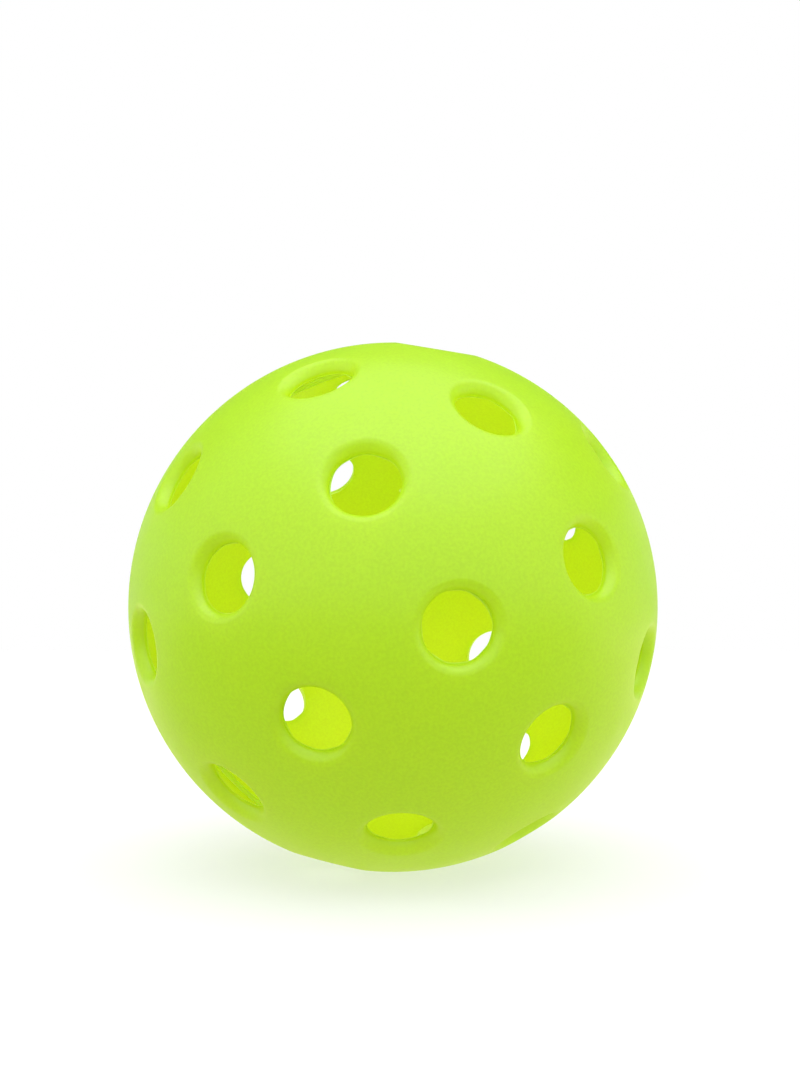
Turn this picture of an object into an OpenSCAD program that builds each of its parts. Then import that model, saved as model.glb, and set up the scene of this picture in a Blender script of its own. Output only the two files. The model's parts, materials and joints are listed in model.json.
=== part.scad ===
// Hollow plastic ball with forty round holes, moulded as two like halves and welded at the middle.
// The centre is the origin. The mould axis lies along Y and the weld seam lies in the XZ plane.

/* [Ball] */
// Outside diameter of the ball
ball_diameter = 74; // [73:0.1:75.5]
// Thickness of the shell wall
wall = 1.8; // [1.4:0.1:2.4]

/* [Holes] */
// Bore diameter of each hole
hole_diameter = 8.4; // [7.6:0.1:9]
// Radius of the round-over at each hole's outer lip
lip_radius = 1.2; // [0.6:0.1:1.4]
// Angle from the mould axis to the ring of holes nearest the pole
pole_ring_angle = 22.6; // [20:0.1:25]
// Angle from the mould axis to the middle ring of holes
middle_ring_angle = 51; // [48:0.5:54]
// Angle from the mould axis to the ring of holes beside the seam
seam_ring_angle = 77; // [75:0.5:79]
// Number of holes in the pole ring
pole_ring_count = 4; // [3:1:5]
// Number of holes in the middle ring and in the seam ring
wide_ring_count = 8; // [6:1:9]

/* [Weld seam] */
// Width and depth of the chamfer on each half's outer seam edge
seam_chamfer = 0.15; // [0.1:0.05:0.3]
// Radius of the bead of melt that stands on the inside of the seam
bead_radius = 0.7; // [0.4:0.1:1.2]

/* [Pose] */
// Turn of the front half's holes about the mould axis
front_roll = 33; // [0:0.5:360]
// Turn of the rear half against the front half, measured about the mould axis
rear_twist = 67.5; // [22.5:22.5:360]

/* [Hidden] */
$fn = 240;

ball_radius = ball_diameter / 2;
inner_radius = ball_radius - wall;
hole_radius = hole_diameter / 2;

// Each ring of holes: angle from the mould axis, number of holes, turn of its first hole
pole_ring = [pole_ring_angle, pole_ring_count, 180 / pole_ring_count];
middle_ring = [middle_ring_angle, wide_ring_count, 180 / wide_ring_count];
seam_ring = [seam_ring_angle, wide_ring_count, 0];
rings = [pole_ring, middle_ring, seam_ring];

// The lip's arc touches the hole wall at its inner end and the ball's surface at its outer end
lip_centre_x = hole_radius + lip_radius;
lip_centre_y = sqrt(pow(ball_radius - lip_radius, 2) - pow(lip_centre_x, 2));

// The cutters run this far past the solid on each side
overrun = 1.5;
lip_touch_scale = ball_radius / (ball_radius - lip_radius);
lip_clear_scale = (ball_radius + overrun) / (ball_radius - lip_radius);
cutter_floor = inner_radius - wall - overrun;

// Wall of a hemisphere on +Z, cut by a plane at the seam with its outer edge chamfered
module hemisphere_wall() {
    rotate_extrude()
        difference() {
            intersection() {
                circle(r = ball_radius);
                square(ball_radius);
            }
            circle(r = inner_radius);
            polygon([
                [ball_radius - seam_chamfer, -overrun],
                [ball_radius - seam_chamfer, 0],
                [ball_radius + overrun, seam_chamfer + overrun],
                [ball_radius + overrun, -overrun]
            ]);
        }
}

// Solid of revolution about Z that cuts one hole with its rounded lip through the wall
module hole_cutter() {
    rotate_extrude()
        difference() {
            polygon([
                [0, cutter_floor],
                [hole_radius, cutter_floor],
                [hole_radius, lip_centre_y],
                [lip_centre_x, lip_centre_y],
                [lip_centre_x * lip_touch_scale, lip_centre_y * lip_touch_scale],
                [lip_centre_x * lip_clear_scale, lip_centre_y * lip_clear_scale],
                [0, lip_centre_y * lip_clear_scale]
            ]);
            translate([lip_centre_x, lip_centre_y])
                circle(r = lip_radius);
        }
}

// One moulded half: the pole is on +Z and the seam lies in the XY plane
module half_shell() {
    difference() {
        hemisphere_wall();
        for (ring = rings, i = [0 : ring[1] - 1])
            rotate([0, ring[0], ring[2] + i * 360 / ring[1]])
                hole_cutter();
    }
}

// The half whose pole points along -Y
module front_half_shell() {
    color("#b9e83c")
        rotate([90, 0, 0])
            rotate([0, 0, front_roll])
                half_shell();
}

// The same moulding turned over, with its pole along +Y
module rear_half_shell() {
    color("#b4e438")
        rotate([-90, 0, 0])
            rotate([0, 0, -front_roll - rear_twist])
                half_shell();
}

// Ring of melt squeezed out on the inside, where the two halves are welded
module weld_bead() {
    color("#a5d628")
        rotate([90, 0, 0])
            rotate_extrude()
                intersection() {
                    circle(r = inner_radius);
                    translate([inner_radius, 0])
                        circle(r = bead_radius);
                }
}

front_half_shell();
rear_half_shell();
weld_bead();
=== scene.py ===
"""Looks of a hollow perforated plastic ball: two moulded half shells, the weld inside, a white studio."""

import json
import math

import bpy
from mathutils import Matrix, Vector, noise
from mathutils.geometry import delaunay_2d_cdt


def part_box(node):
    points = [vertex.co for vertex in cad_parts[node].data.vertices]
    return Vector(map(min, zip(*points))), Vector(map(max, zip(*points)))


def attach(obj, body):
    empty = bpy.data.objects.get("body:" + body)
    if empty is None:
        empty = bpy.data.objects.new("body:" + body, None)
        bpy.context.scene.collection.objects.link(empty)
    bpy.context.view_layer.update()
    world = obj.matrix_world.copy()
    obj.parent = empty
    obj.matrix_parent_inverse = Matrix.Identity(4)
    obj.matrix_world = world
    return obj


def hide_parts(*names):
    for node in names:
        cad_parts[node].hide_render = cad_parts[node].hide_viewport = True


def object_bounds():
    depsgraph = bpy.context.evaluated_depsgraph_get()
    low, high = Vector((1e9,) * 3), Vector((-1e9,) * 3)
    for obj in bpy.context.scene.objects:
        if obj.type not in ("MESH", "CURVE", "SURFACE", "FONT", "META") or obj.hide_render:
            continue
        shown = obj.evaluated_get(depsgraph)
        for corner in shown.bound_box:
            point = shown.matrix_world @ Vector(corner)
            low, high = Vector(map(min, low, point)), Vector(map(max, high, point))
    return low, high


MM = 0.001

# ---------------------------------------------------------------- what the frame says

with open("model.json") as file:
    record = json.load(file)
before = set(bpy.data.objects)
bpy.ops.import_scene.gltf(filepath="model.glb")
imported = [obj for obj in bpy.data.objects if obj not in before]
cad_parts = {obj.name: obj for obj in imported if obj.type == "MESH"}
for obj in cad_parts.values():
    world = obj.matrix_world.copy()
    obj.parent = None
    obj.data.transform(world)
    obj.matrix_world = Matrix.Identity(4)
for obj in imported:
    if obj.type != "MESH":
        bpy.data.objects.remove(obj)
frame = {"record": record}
cad_low, cad_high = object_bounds()

mounts = {mount["name"]: mount for mount in frame["record"]["mounts"]}
tether_axis = Vector(mounts["tether_hole"]["axis"]).normalized()
bead_low, bead_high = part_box("weld_bead")

BALL_RADIUS = -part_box("front_half_shell")[0][1]
# The bead fills out to the shells' inner wall, so its box gives that wall's radius
INNER_RADIUS = bead_high[0]
BEAD_RADIUS = (bead_high[1] - bead_low[1]) / 2
HOLE_RADIUS = mounts["tether_hole"]["dims"]["r_mm"] * MM

# The tether hole is the first of the pole ring, so its axis gives that ring's angle and the front half's roll
POLE_RING_ANGLE = math.acos(-tether_axis.y)
POLE_RING_TURN = math.radians(45)
FRONT_ROLL = math.atan2(tether_axis.z, tether_axis.x) - POLE_RING_TURN

# ---------------------------------------------------------------- design of one moulded half

REAR_TWIST = math.radians(67.5)
MIDDLE_RING_ANGLE = math.radians(51)
SEAM_RING_ANGLE = math.radians(77)
LIP_RADIUS = 1.2 * MM
RIM_BEVEL = 0.09 * MM
SEAM_CHAMFER = 0.15 * MM

# Thin uneven skin of plastic left round each hole's inner rim: its full reach into the hole, its thickness
FLASH_REACH = 0.24 * MM
FLASH_THICKNESS = 0.07 * MM
# Its section, towards the ball's inside: parts of its thickness, and of its reach there
FLASH_SECTION = [(0.8, 1.0), (0.1, 0.9)]
# How large its uneven patches are, and its least reach, mean reach and swing, in parts of its full reach
FLASH_PATCH = 2.2 * MM
FLASH_LEAST = 0.12
FLASH_MEAN = 0.5
FLASH_SWING = 0.9
# The torn shred: how far it stands out, how wide it is, and where it is round the hole
BURR_REACH = 0.32 * MM
BURR_WIDTH = 0.24 * MM
BURR_TURN = math.radians(274)

# Painted light and shade in the plastic's colour: the thin flash is painted pale for the light that bleeds
# through it, and each hole's lip and wall are painted darker for the shade in the recess
FLASH_PAINTED_LIGHT = 1.0
HOLE_PAINTED_SHADE = -0.7

# Light that bleeds through softens the lip's turn into the hole: past this tilt its normals turn slower
EASE_START = math.radians(35)
EASE_SLOPE = 0.55

# Each ring of holes: angle from the pole, number of holes, turn of its first hole
RINGS = [
    (POLE_RING_ANGLE, 4, POLE_RING_TURN),
    (MIDDLE_RING_ANGLE, 8, math.radians(22.5)),
    (SEAM_RING_ANGLE, 8, 0.0),
]

# Mesh density
POINT_SPACING = 1.0 * MM
HOLE_SEGMENTS = 96
SEAM_SEGMENTS = 360
LIP_SEGMENTS = 14
WALL_SEGMENTS = 2
BEAD_SEGMENTS = 20
# No point comes nearer to a hole or to the seam than this part of the point spacing
POINT_CLEARANCE = 0.6
# Points of the flat view that are closer than this would be merged; none are
MERGE_DISTANCE = 1e-9
# Faces that meet at more than this angle have a sharp edge between them
SHARP_ANGLE = math.radians(32)

# The weld bead: its mean size in parts of the CAD bead's, two waves of unevenness with their fineness and
# height, and the crease along its middle
BEAD_SWELL = 0.84
BEAD_WAVES = [(9, 0.12), (40, 0.04)]
CREASE_DEPTH = 0.35
CREASE_WIDTH = 0.32


def hole_frames():
    """One rotation per hole of a half whose pole is on +Z; each takes +Z to the hole's axis."""
    frames = []
    for angle, count, turn in RINGS:
        for i in range(count):
            about_pole = Matrix.Rotation(turn + i * math.tau / count, 3, "Z")
            frames.append(about_pole @ Matrix.Rotation(angle, 3, "Y"))
    return frames


def circle_point(radius, height, i, segments):
    """Point number i of that many on a circle about +Z."""
    turn = i * math.tau / segments
    return Vector((radius * math.cos(turn), radius * math.sin(turn), height))


def circle(radius, height, segments):
    return [circle_point(radius, height, i, segments) for i in range(segments)]


def lip_profile():
    """Points from the ball's surface over the lip, down the hole and round the flash to the inner wall. Each
    holds its distance from the hole's axis, its height along it, the part of the flash's reach that applies
    there, its painted light or shade (pale on the flash, darker down the lip and wall), and on the lip the
    tilt of its shading normal from the hole's axis."""
    centre_x = HOLE_RADIUS + LIP_RADIUS
    centre_y = math.sqrt((BALL_RADIUS - LIP_RADIUS) ** 2 - centre_x ** 2)
    start = math.atan2(centre_y, centre_x)
    points = []
    for i in range(LIP_SEGMENTS + 1):
        along = i / LIP_SEGMENTS
        a = start + (math.pi - start) * along
        # Painted shade, darker down the lip towards the hole
        painted_tone = HOLE_PAINTED_SHADE * along ** 2
        tilt = a - math.pi / 2
        eased = min(tilt, EASE_START + (tilt - EASE_START) * EASE_SLOPE)
        x = centre_x + LIP_RADIUS * math.cos(a)
        points.append((x, centre_y + LIP_RADIUS * math.sin(a), 0.0, painted_tone, eased))
    rim_y = math.sqrt(INNER_RADIUS ** 2 - (HOLE_RADIUS + RIM_BEVEL) ** 2)
    wall_end = rim_y + FLASH_THICKNESS
    # The hole's wall, in painted shade all down it
    for i in range(1, WALL_SEGMENTS + 1):
        y = centre_y + (wall_end - centre_y) * i / WALL_SEGMENTS
        points.append((HOLE_RADIUS, y, 0.0, HOLE_PAINTED_SHADE, None))
    # The flash, painted pale for the light that bleeds through it
    for rise, reach in FLASH_SECTION:
        points.append((HOLE_RADIUS, rim_y + FLASH_THICKNESS * rise, reach, FLASH_PAINTED_LIGHT, None))
    points.append((HOLE_RADIUS + RIM_BEVEL, rim_y, 0.0, 0.0, None))
    return points


def flash_reach(point, seed):
    """How far the flash stands into a hole at that point of its rim: uneven, nearly nothing in places."""
    patchy = noise.noise(point / FLASH_PATCH + Vector((seed, seed, 0)))
    return FLASH_REACH * max(FLASH_LEAST, FLASH_MEAN + FLASH_SWING * patchy)


def to_plane(point):
    """Stereographic view from the far pole: circles on the ball stay circles on the plane."""
    unit = point.normalized()
    return Vector((unit.x, unit.y)) / (1 + unit.z)


def spread_points(radius, rim_radius, edge_height, axes):
    """Even points over a hemisphere of that radius, clear of its edge and of the holes about those axes."""
    clearance = POINT_CLEARANCE * POINT_SPACING / radius
    hole_cos = math.cos(math.asin(rim_radius / radius) + clearance)
    low_z = edge_height / radius + clearance
    count = int(math.tau * (BALL_RADIUS / POINT_SPACING) ** 2 / math.sin(math.radians(60)))
    golden = math.pi * (3 - math.sqrt(5))
    points = []
    for i in range(count):
        z = 1 - (i + 0.5) / count
        if z < low_z:
            break
        flat = math.sqrt(1 - z * z)
        unit = Vector((flat * math.cos(i * golden), flat * math.sin(i * golden), z))
        if all(unit.dot(axis) < hole_cos for axis in axes):
            points.append(unit * radius)
    return points


def sphere_patch(radius, rim_radius, edge_height, frames):
    """Triangles over a hemisphere of that radius, open at each hole. The points go round each hole in turn,
    then round the edge, and then spread over the rest."""
    rim = circle(rim_radius, math.sqrt(radius ** 2 - rim_radius ** 2), HOLE_SEGMENTS)
    loops = [[turn @ point for point in rim] for turn in frames]
    loops.append(circle(math.sqrt(radius ** 2 - edge_height ** 2), edge_height, SEAM_SEGMENTS))
    points = []
    edges = []
    for loop in loops:
        first = len(points)
        points.extend(loop)
        edges.extend((first + i, first + (i + 1) % len(loop)) for i in range(len(loop)))
    axes = [turn @ Vector((0, 0, 1)) for turn in frames]
    points.extend(spread_points(radius, rim_radius, edge_height, axes))

    plane = [to_plane(point) for point in points]
    _, _, faces, _, _, _ = delaunay_2d_cdt(plane, edges, [], 0, MERGE_DISTANCE)
    inside_cos = math.cos(math.asin(rim_radius / radius))
    kept = []
    for face in faces:
        middle = sum((points[i] for i in face), Vector()).normalized()
        if all(middle.dot(axis) < inside_cos for axis in axes):
            kept.append(tuple(face))
    return points, kept


def rim_reach(turn, seed, torn):
    """How far the flash stands into a hole all round its rim, with the burr if the hole is the torn one."""
    reach = []
    for i in range(HOLE_SEGMENTS):
        stands = flash_reach(turn @ circle_point(HOLE_RADIUS, INNER_RADIUS, i, HOLE_SEGMENTS), seed)
        if torn:
            off = HOLE_RADIUS * (i * math.tau / HOLE_SEGMENTS - BURR_TURN)
            stands += BURR_REACH * math.exp(-(off / BURR_WIDTH) ** 2)
        reach.append(stands)
    return reach


class Shell:
    """The points of a half shell, each with its painted light or shade and its shading normal, and the faces
    between them. A normal of no length leaves the surface its own."""

    def __init__(self):
        self.points = []
        self.painted_light_and_shade = []
        self.normals = []
        self.faces = []

    def add_points(self, points, painted_light_and_shade=0.0, normals=None):
        """Adds the points and returns their numbers."""
        first = len(self.points)
        self.points.extend(points)
        self.painted_light_and_shade.extend([painted_light_and_shade] * len(points))
        self.normals.extend(normals or [Vector()] * len(points))
        return list(range(first, len(self.points)))

    def bridge(self, upper, lower):
        """Joins two rings of as many points with a band of faces."""
        for i in range(len(upper)):
            j = (i + 1) % len(upper)
            self.faces.append((upper[i], lower[i], lower[j], upper[j]))

    def add_wall(self, radius, rim_radius, edge_height, frames, faces_in):
        """Adds the outer or inner surface and returns the ring of each of its holes, and its edge."""
        points, faces = sphere_patch(radius, rim_radius, edge_height, frames)
        numbers = self.add_points(points)
        for face in faces:
            order = reversed(face) if faces_in else face
            self.faces.append(tuple(numbers[i] for i in order))
        edge = len(frames) * HOLE_SEGMENTS
        rims = [numbers[start:start + HOLE_SEGMENTS] for start in range(0, edge, HOLE_SEGMENTS)]
        return rims, numbers[edge:edge + SEAM_SEGMENTS]

    def line_hole(self, turn, profile, reach, outer_rim, inner_rim):
        """Adds the lip, wall and flash of one hole between its two rims."""
        ring = outer_rim
        for x, y, flash, painted_tone, tilt in profile[1:-1]:
            points = []
            for i in range(HOLE_SEGMENTS):
                points.append(turn @ circle_point(x - flash * reach[i], y, i, HOLE_SEGMENTS))
            normals = None
            if tilt is not None:
                normals = [turn @ way for way in circle(-math.sin(tilt), math.cos(tilt), HOLE_SEGMENTS)]
            # Each ring takes its painted light or shade
            following = self.add_points(points, painted_tone, normals)
            self.bridge(following, ring)
            ring = following
        self.bridge(inner_rim, ring)


def half_shell_mesh(name, seed, torn_hole):
    """One moulded half with its pole on +Z: outer wall, inner wall, lips and seam face as one closed mesh.
    The hole with the number torn_hole has the burr. Returns the mesh and its points' shading normals."""
    frames = hole_frames()
    profile = lip_profile()
    shell = Shell()
    outer_rims, outer_edge = shell.add_wall(BALL_RADIUS, profile[0][0], SEAM_CHAMFER, frames, False)
    inner_rims, inner_edge = shell.add_wall(INNER_RADIUS, profile[-1][0], 0.0, frames, True)
    for h, turn in enumerate(frames):
        reach = rim_reach(turn, seed, h == torn_hole)
        shell.line_hole(turn, profile, reach, outer_rims[h], inner_rims[h])
    seam_edge = shell.add_points(circle(BALL_RADIUS - SEAM_CHAMFER, 0.0, SEAM_SEGMENTS))
    shell.bridge(outer_edge, seam_edge)
    shell.bridge(seam_edge, inner_edge)

    mesh = bpy.data.meshes.new(name)
    mesh.from_pydata(shell.points, [], shell.faces)
    # Each point's painted light or shade, for the plastic's colour
    mesh.attributes.new("painted_light_and_shade", "FLOAT", "POINT").data.foreach_set("value", shell.painted_light_and_shade)
    mesh.validate()
    return mesh, shell.normals


def add_piece(mesh, turn, node, material, point_normals=None):
    """Puts a mesh made about +Z where its CAD node is, and lets it stand for that node."""
    mesh.transform(turn.to_4x4())
    mesh.polygons.foreach_set("use_smooth", [True] * len(mesh.polygons))
    mesh.set_sharp_from_angle(angle=SHARP_ANGLE)
    if point_normals:
        mesh.normals_split_custom_set([turn @ point_normals[loop.vertex_index] for loop in mesh.loops])
    mesh.update()
    piece = bpy.data.objects.new(mesh.name, mesh)
    bpy.context.scene.collection.objects.link(piece)
    mesh.materials.append(material)
    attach(piece, "root")
    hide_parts(node)


def weld_bead_mesh(name):
    """The ring of melt inside the seam, about +Z: two uneven rolled lobes with a crease between them."""
    points = []
    for i in range(SEAM_SEGMENTS):
        turn = i * math.tau / SEAM_SEGMENTS
        way = Vector((math.cos(turn), math.sin(turn), 0))
        swell = BEAD_SWELL
        for waves, rise in BEAD_WAVES:
            swell += rise * noise.noise(way * waves)
        for j in range(BEAD_SEGMENTS):
            a = math.pi * (j + 0.5) / BEAD_SEGMENTS
            crease = 1 - CREASE_DEPTH * math.exp(-((a - math.pi / 2) / CREASE_WIDTH) ** 2)
            reach = BEAD_RADIUS * swell * crease
            height = reach * math.cos(a)
            limit = math.sqrt(INNER_RADIUS ** 2 - height ** 2)
            points.append(way * min(limit, INNER_RADIUS - reach * math.sin(a)) + Vector((0, 0, height)))
        for j in range(BEAD_SEGMENTS):
            height = -BEAD_RADIUS * swell * (1 - 2 * (j + 0.5) / BEAD_SEGMENTS)
            points.append(way * math.sqrt(INNER_RADIUS ** 2 - height ** 2) + Vector((0, 0, height)))
    row = 2 * BEAD_SEGMENTS
    faces = []
    for i in range(SEAM_SEGMENTS):
        here = i * row
        there = (i + 1) % SEAM_SEGMENTS * row
        for j in range(row):
            k = (j + 1) % row
            faces.append((there + j, there + k, here + k, here + j))
    mesh = bpy.data.meshes.new(name)
    mesh.from_pydata(points, [], faces)
    mesh.validate()
    return mesh


# ---------------------------------------------------------------- materials

class Nodes:
    """Short calls to build the node tree of a material or of the world."""

    def __init__(self, owner, output):
        owner.use_nodes = True
        self.tree = owner.node_tree
        self.tree.nodes.clear()
        self.output = self.add(output)

    def add(self, kind, settings=None, **inputs):
        """A new node; an input's name has _ where its socket's name has a space."""
        node = self.tree.nodes.new(kind)
        for key, value in (settings or {}).items():
            setattr(node, key, value)
        for key, value in inputs.items():
            self.set(node, key.replace("_", " "), value)
        return node

    def set(self, node, socket, value):
        target = node.inputs[socket]
        if isinstance(value, bpy.types.NodeSocket):
            self.tree.links.new(value, target)
        else:
            target.default_value = value

    def math(self, operation, a, b=0.0, clamp=False):
        node = self.add("ShaderNodeMath", {"operation": operation, "use_clamp": clamp})
        self.set(node, 0, a)
        self.set(node, 1, b)
        return node.outputs[0]

    def noise(self, coordinates, seed, recipe):
        """A noise made from its recipe; another seed gives another of the same kind."""
        shift, scale, detail, roughness = recipe
        node = self.add("ShaderNodeTexNoise", {"noise_dimensions": "4D"}, Vector=coordinates, W=seed + shift,
                        Scale=scale, Detail=detail, Roughness=roughness)
        return node.outputs["Fac"]

    def remap(self, value, low, high, to_low=0.0, to_high=1.0):
        """Turns low..high smoothly into to_low..to_high, and holds it there beyond."""
        node = self.add("ShaderNodeMapRange", {"interpolation_type": "SMOOTHSTEP"}, Value=value)
        self.set(node, "From Min", low)
        self.set(node, "From Max", high)
        self.set(node, "To Min", to_low)
        self.set(node, "To Max", to_high)
        return node.outputs["Result"]

    def mix(self, factor, a, b):
        """Colour a where the factor is 0, colour b where it is 1."""
        node = self.add("ShaderNodeMix", {"data_type": "RGBA"})
        self.set(node, "Factor", factor)
        sockets = [socket for socket in node.inputs if socket.type == "RGBA"]
        for socket, value in zip(sockets, (a, b)):
            if isinstance(value, bpy.types.NodeSocket):
                self.tree.links.new(value, socket)
            else:
                socket.default_value = (*value, 1.0)
        return next(socket for socket in node.outputs if socket.type == "RGBA")

    def blend(self, factor, a, b):
        """Number a where the factor is 0, number b where it is 1."""
        node = self.add("ShaderNodeMix", Factor=factor, A=a, B=b)
        return node.outputs["Result"]

    def share(self, factor, a, b):
        """Shader a where the factor is 0, shader b where it is 1."""
        node = self.add("ShaderNodeMixShader", Fac=factor)
        self.set(node, 1, a.outputs[0])
        self.set(node, 2, b.outputs[0])
        return node


# The neon plastic: what its skin scatters back, and what it lets through to the other side
LIME = (0.58, 0.985, 0.018)
LIME_DEEP = (0.515, 0.955, 0.012)
# The pale colour painted on the flash, for the light that bleeds through it
LIME_PAINTED_LIGHT = (0.72, 1.0, 0.25)
THROUGH = (0.85, 0.87, 0.11)
SHELL_THROUGH = 0.6
PLASTIC_IOR = 1.55
# The weld is melted into the walls, so it adds little of its own
WELD_LIME = (0.9, 1.0, 0.3)
WELD_THROUGH = (0.985, 0.99, 0.7)
WELD_SHARE = 0.95

# The noises in the plastic: each one's shift of the seed, features per metre, octaves and roughness
CLOUDS = (0.0, 55.0, 3.0, 0.55)
MOTTLE = (3.1, 1200.0, 3.0, 0.6)
GRAIN = (1.3, 2600.0, 2.0, 0.6)
RUBS = (7.7, 160.0, 4.0, 0.7)
RIPPLES = (5.9, 420.0, 2.0, 0.5)
# The values of a noise at which its mark begins and at which it is full
CLOUD_SPAN = (0.3, 0.7)
MOTTLE_SPAN = (0.35, 0.65)
GRAIN_SPAN = (0.3, 0.7)
RUB_SPAN = (0.4, 0.75)

# How strong each full mark is, and what part of the deep colour's brightness the darkest ones have
CLOUD_DEPTH = 0.35
MOTTLE_DEPTH = 0.2
GRAIN_DEPTH = 0.55
GRAIN_DARKNESS = 0.72
# Painted shade in the holes: the part of the deep colour's brightness it has at its darkest
HOLE_SHADE_DARKNESS = 0.85
# Specks: cells per metre, a speck's faded edge in parts of its cell, and the share of the cells without one
SPECK_CELLS = 110.0
SPECK_EDGE = (0.035, 0.018)
SPECKLESS = 0.86
SPECK_DEPTH = 0.5
SPECK_DARKNESS = 0.35
# How much the clouds deepen the light that passes through
CLOUD_THROUGH = 0.06

# Roughness of the skin, and what a full rub and the flash's painted pale edge add to it
SKIN_ROUGHNESS = 0.32
RUB_ROUGHNESS = 0.12
EDGE_ROUGHNESS = 0.1
# How high the ripples are, how strongly they show, and the grain's height in parts of theirs
RIPPLE_HEIGHT = 0.06 * MM
RIPPLE_STRENGTH = 0.35
GRAIN_HEIGHT = 0.35

# The studio paper: the noises of its mottle and tooth, its two whites, and the tooth's height and strength
PAPER_MOTTLE = (2.0, 60.0, 4.0, 0.6)
PAPER_TOOTH = (5.0, 900.0, 2.0, 0.5)
PAPER_SPAN = (0.3, 0.7)
PAPER_WHITES = ((0.9, 0.9, 0.9), (0.92, 0.92, 0.92))
TOOTH_HEIGHT = 0.1 * MM
TOOTH_STRENGTH = 0.1


def darker(colour, share):
    return tuple(part * share for part in colour)


def speckled(n, where, seed, colour, dark):
    """The colour with a few dark specks in it."""
    cells = n.add("ShaderNodeTexVoronoi", {"feature": "F1", "voronoi_dimensions": "4D"}, Vector=where, W=seed,
                  Scale=SPECK_CELLS)
    lot = n.add("ShaderNodeSeparateColor", Color=cells.outputs["Color"]).outputs["Red"]
    chosen = n.math("GREATER_THAN", lot, SPECKLESS)
    speck = n.math("MULTIPLY", n.remap(cells.outputs["Distance"], *SPECK_EDGE), chosen)
    return n.mix(n.math("MULTIPLY", speck, SPECK_DEPTH), colour, dark)


def lime_plastic(name, seed, body, deep, painted_tone, through, share_through):
    """Matte moulded polyethylene that lets light into its wall, cloudy and finely grained, with a few dark
    specks and rubbed patches. Shade is painted darker on the holes' lips and walls, and the flash is painted
    pale for the light that bleeds through it."""
    material = bpy.data.materials.new(name)
    n = Nodes(material, "ShaderNodeOutputMaterial")
    where = n.add("ShaderNodeTexCoord").outputs["Object"]

    clouds = n.remap(n.noise(where, seed, CLOUDS), *CLOUD_SPAN)
    mottle = n.remap(n.noise(where, seed, MOTTLE), *MOTTLE_SPAN)
    grain = n.noise(where, seed, GRAIN)
    grained = n.math("MULTIPLY", n.remap(grain, *GRAIN_SPAN), GRAIN_DEPTH)
    colour = n.mix(n.math("MULTIPLY", clouds, CLOUD_DEPTH), body, deep)
    colour = n.mix(n.math("MULTIPLY", mottle, MOTTLE_DEPTH), colour, deep)
    colour = n.mix(grained, colour, darker(deep, GRAIN_DARKNESS))

    # Painted light and shade from the mesh: painted shade darkens the holes' lips and walls
    painted_light_and_shade = n.add("ShaderNodeAttribute", {"attribute_name": "painted_light_and_shade"}).outputs["Fac"]
    hole_shade_mask = n.math("MULTIPLY", painted_light_and_shade, -1.0, clamp=True)
    # Where the flash is painted pale, for the light that bleeds through it
    edge = n.math("MAXIMUM", painted_light_and_shade, 0.0)
    colour = n.mix(hole_shade_mask, colour, darker(deep, HOLE_SHADE_DARKNESS))
    colour = n.mix(edge, colour, painted_tone)
    colour = speckled(n, where, seed, colour, darker(deep, SPECK_DARKNESS))

    rubbed = n.math("MULTIPLY", n.remap(n.noise(where, seed, RUBS), *RUB_SPAN), RUB_ROUGHNESS)
    roughness = n.math("ADD", rubbed, SKIN_ROUGHNESS)
    roughness = n.math("ADD", roughness, n.math("MULTIPLY", edge, EDGE_ROUGHNESS))
    relief = n.math("ADD", n.math("MULTIPLY", grain, GRAIN_HEIGHT), n.noise(where, seed, RIPPLES))
    bump = n.add("ShaderNodeBump", Strength=RIPPLE_STRENGTH, Distance=RIPPLE_HEIGHT, Height=relief)

    # Only the side that faces out of the plastic shines
    shine = n.math("SUBTRACT", 1.0, n.add("ShaderNodeNewGeometry").outputs["Backfacing"])
    skin = n.add("ShaderNodeBsdfPrincipled", Base_Color=colour, Roughness=roughness, IOR=PLASTIC_IOR,
                 Normal=bump.outputs["Normal"])
    n.set(skin, "Specular IOR Level", shine)
    passed = n.mix(n.math("MULTIPLY", clouds, CLOUD_THROUGH), through, deep)
    glow = n.add("ShaderNodeBsdfTranslucent", Color=passed, Normal=bump.outputs["Normal"])
    n.set(n.output, "Surface", n.share(share_through, skin, glow).outputs["Shader"])
    return material


def studio_white(name):
    """Pale matte paper with a faint mottle. All but the camera see a softly glowing panel in its place, which
    lights the ball from below. It fades out far from the ball, and from below it is clear."""
    material = bpy.data.materials.new(name)
    n = Nodes(material, "ShaderNodeOutputMaterial")
    where = n.add("ShaderNodeTexCoord").outputs["Object"]

    white = n.mix(n.remap(n.noise(where, 0.0, PAPER_MOTTLE), *PAPER_SPAN), *PAPER_WHITES)
    tooth = n.noise(where, 0.0, PAPER_TOOTH)
    bump = n.add("ShaderNodeBump", Strength=TOOTH_STRENGTH, Distance=TOOTH_HEIGHT, Height=tooth)
    paper = n.add("ShaderNodeBsdfDiffuse", Color=white, Normal=bump.outputs["Normal"])
    sheet = n.share(PAPER_EVENNESS, paper, n.add("ShaderNodeEmission"))

    along = n.add("ShaderNodeSeparateXYZ", Vector=where).outputs["Y"]
    strength = n.remap(along, *GLOW_RISE, GLOW_FRONT, GLOW_BEHIND)
    panel = n.add("ShaderNodeEmission", Color=(*FLOOR_GLOW, 1.0), Strength=strength)
    seen_by_camera = n.add("ShaderNodeLightPath").outputs["Is Camera Ray"]
    table = n.share(seen_by_camera, panel, sheet)

    distance = n.add("ShaderNodeVectorMath", {"operation": "LENGTH"}, Vector=where).outputs["Value"]
    faded = n.remap(distance, *STAGE_FADE)
    below = n.add("ShaderNodeNewGeometry").outputs["Backfacing"]
    stage = n.share(n.math("MAXIMUM", faded, below), table, n.add("ShaderNodeBsdfTransparent"))
    n.set(n.output, "Surface", stage.outputs["Shader"])
    return material


# ---------------------------------------------------------------- the ball

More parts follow.
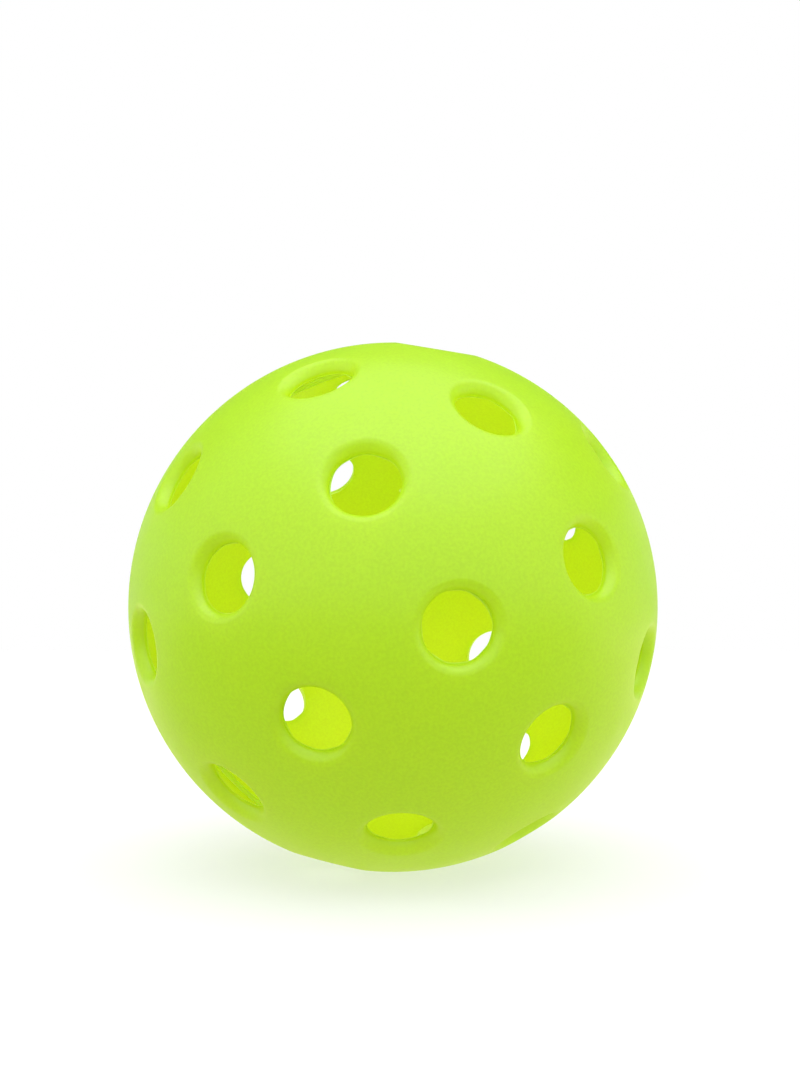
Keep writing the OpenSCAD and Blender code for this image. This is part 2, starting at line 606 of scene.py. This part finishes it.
# Each half has a seed for its plastic and another for its flash, and the weld has one for its plastic
FRONT_SEEDS = (1.0, 3.0)
REAR_SEEDS = (23.0, 17.0)
WELD_SEED = 47.0
# The hole whose flash is torn: the front half's first
TETHER_HOLE = 0


def build_half(name, node, plastic_seed, flash_seed, torn_hole, turn):
    """One half shell with its own plastic, turned from its pole on +Z to its CAD node's place."""
    slot = name + "_plastic"
    plastic = lime_plastic(slot, plastic_seed, LIME, LIME_DEEP, LIME_PAINTED_LIGHT, THROUGH, SHELL_THROUGH)
    mesh, normals = half_shell_mesh(name, flash_seed, torn_hole)
    add_piece(mesh, turn, node, plastic, normals)


def build_ball():
    """The three pieces, each in its CAD node's place."""
    pole_to_front = Matrix.Rotation(math.radians(90), 3, "X")
    pole_to_rear = Matrix.Rotation(math.radians(-90), 3, "X")
    to_front = pole_to_front @ Matrix.Rotation(FRONT_ROLL, 3, "Z")
    to_rear = pole_to_rear @ Matrix.Rotation(-FRONT_ROLL - REAR_TWIST, 3, "Z")
    build_half("front_shell", "front_half_shell", *FRONT_SEEDS, TETHER_HOLE, to_front)
    build_half("rear_shell", "rear_half_shell", *REAR_SEEDS, None, to_rear)
    slot = "weld_plastic"
    plastic = lime_plastic(slot, WELD_SEED, WELD_LIME, LIME, LIME_PAINTED_LIGHT, WELD_THROUGH, WELD_SHARE)
    add_piece(weld_bead_mesh("weld_ring"), pole_to_front, "weld_bead", plastic)


# ---------------------------------------------------------------- studio, lights, camera

# The floor's size, and from what to what distance it fades into the backdrop
STAGE_RADIUS = 1.6
STAGE_SEGMENTS = 96
STAGE_FADE = (STAGE_RADIUS * 0.35, STAGE_RADIUS * 0.95)
# How bright the studio is on the ball, in front of it and behind it: near the horizon, and above the overhead
# panels' edge. The front turns into the rear between these two parts of a direction along Y.
FRONT_FILL = (1.25, 1.31)
REAR_FILL = (1.12, 0.3)
PANEL_EDGE = (math.radians(14), math.radians(26))
SIDE_TURN = (-0.2, 0.6)
# How bright the backdrop is to the camera, and the colour of the light that the floor's panel sends up
BACKDROP = 1.0
FLOOR_GLOW = (0.91, 0.79, 0.62)
# The panel's strength in front of the ball and behind it, and from where to where along Y it rises
GLOW_FRONT = 0.7
GLOW_BEHIND = 2.35
GLOW_RISE = (-0.08, 0.1)
# How far the paper's own light evens out the ball's shadow on it
PAPER_EVENNESS = 0.55
# The overhead lamp: the way its light goes, its power, and its spread in the sky
LAMP_WAY = (-0.12, 0.15, -1.0)
LAMP_POWER = 1.6
LAMP_SPREAD = math.radians(80)


def build_stage():
    """A round pale floor under the ball, wide enough to fade into the backdrop."""
    points = [Vector((0, 0, 0))] + circle(STAGE_RADIUS, 0, STAGE_SEGMENTS)
    faces = [(0, 1 + i, 1 + (i + 1) % STAGE_SEGMENTS) for i in range(STAGE_SEGMENTS)]
    mesh = bpy.data.meshes.new("studio_floor")
    mesh.from_pydata(points, [], faces)
    mesh.materials.append(studio_white("studio_paper"))
    floor = bpy.data.objects.new("studio_floor", mesh)
    floor.location.z = cad_low[2]
    bpy.context.scene.collection.objects.link(floor)


def build_world():
    """Light from all round, which the camera sees as an even white backdrop."""
    world = bpy.data.worlds.new("studio_world")
    n = Nodes(world, "ShaderNodeOutputWorld")
    way = n.add("ShaderNodeSeparateXYZ", Vector=n.add("ShaderNodeTexCoord").outputs["Generated"])
    height = [math.sin(angle) for angle in PANEL_EDGE]
    front = n.remap(way.outputs["Z"], *height, *FRONT_FILL)
    rear = n.remap(way.outputs["Z"], *height, *REAR_FILL)
    fill = n.blend(n.remap(way.outputs["Y"], *SIDE_TURN), front, rear)
    seen_by_camera = n.add("ShaderNodeLightPath").outputs["Is Camera Ray"]
    strength = n.blend(seen_by_camera, fill, BACKDROP)
    light = n.add("ShaderNodeBackground", Color=(1.0, 1.0, 1.0, 1.0), Strength=strength)
    n.set(n.output, "Surface", light.outputs["Background"])
    bpy.context.scene.world = world


def build_lamp():
    """A wide soft lamp overhead, a little to the front and to the right."""
    lamp = bpy.data.lights.new("overhead_lamp", "SUN")
    lamp.energy = LAMP_POWER
    lamp.angle = LAMP_SPREAD
    holder = bpy.data.objects.new("overhead_lamp", lamp)
    holder.rotation_euler = Vector(LAMP_WAY).to_track_quat("-Z", "Y").to_euler()
    bpy.context.scene.collection.objects.link(holder)


# Where the camera stands, its lens and sensor in millimetres, and the nearest and farthest it sees
CAMERA_AZIMUTH = math.radians(10.4)
CAMERA_ELEVATION = math.radians(-1.06)
CAMERA_DISTANCE = 150 * MM
CAMERA_LENS = 35.13
CAMERA_SENSOR = 36.0
CAMERA_CLIP = (0.005, 20.0)
# The ball sits a little left of the frame's middle and below it, in parts of the frame's long side
CAMERA_SHIFT = (0.0066, 0.0696)


def build_camera():
    """The camera at the photograph's viewing angle, aimed at the ball's centre."""
    level = math.cos(CAMERA_ELEVATION)
    side = math.sin(CAMERA_AZIMUTH) * level
    back = Vector((side, -math.cos(CAMERA_AZIMUTH) * level, math.sin(CAMERA_ELEVATION)))
    data = bpy.data.cameras.new("camera")
    data.lens = CAMERA_LENS
    data.sensor_width = CAMERA_SENSOR
    data.shift_x, data.shift_y = CAMERA_SHIFT
    data.clip_start, data.clip_end = CAMERA_CLIP
    camera = bpy.data.objects.new("camera", data)
    camera.location = back * CAMERA_DISTANCE
    camera.rotation_mode = "QUATERNION"
    camera.rotation_quaternion = (-back).to_track_quat("-Z", "Y")
    bpy.context.scene.collection.objects.link(camera)
    bpy.context.scene.camera = camera


DIFFUSE_BOUNCES = 16
ALL_BOUNCES = 20


def set_light_paths():
    """Plain colours, and enough bounces for the light that the ball's walls keep passing on."""
    scene = bpy.context.scene
    scene.view_settings.view_transform = "Standard"
    scene.cycles.diffuse_bounces = DIFFUSE_BOUNCES
    scene.cycles.max_bounces = ALL_BOUNCES


build_ball()
build_stage()
build_world()
build_lamp()
build_camera()
set_light_paths()
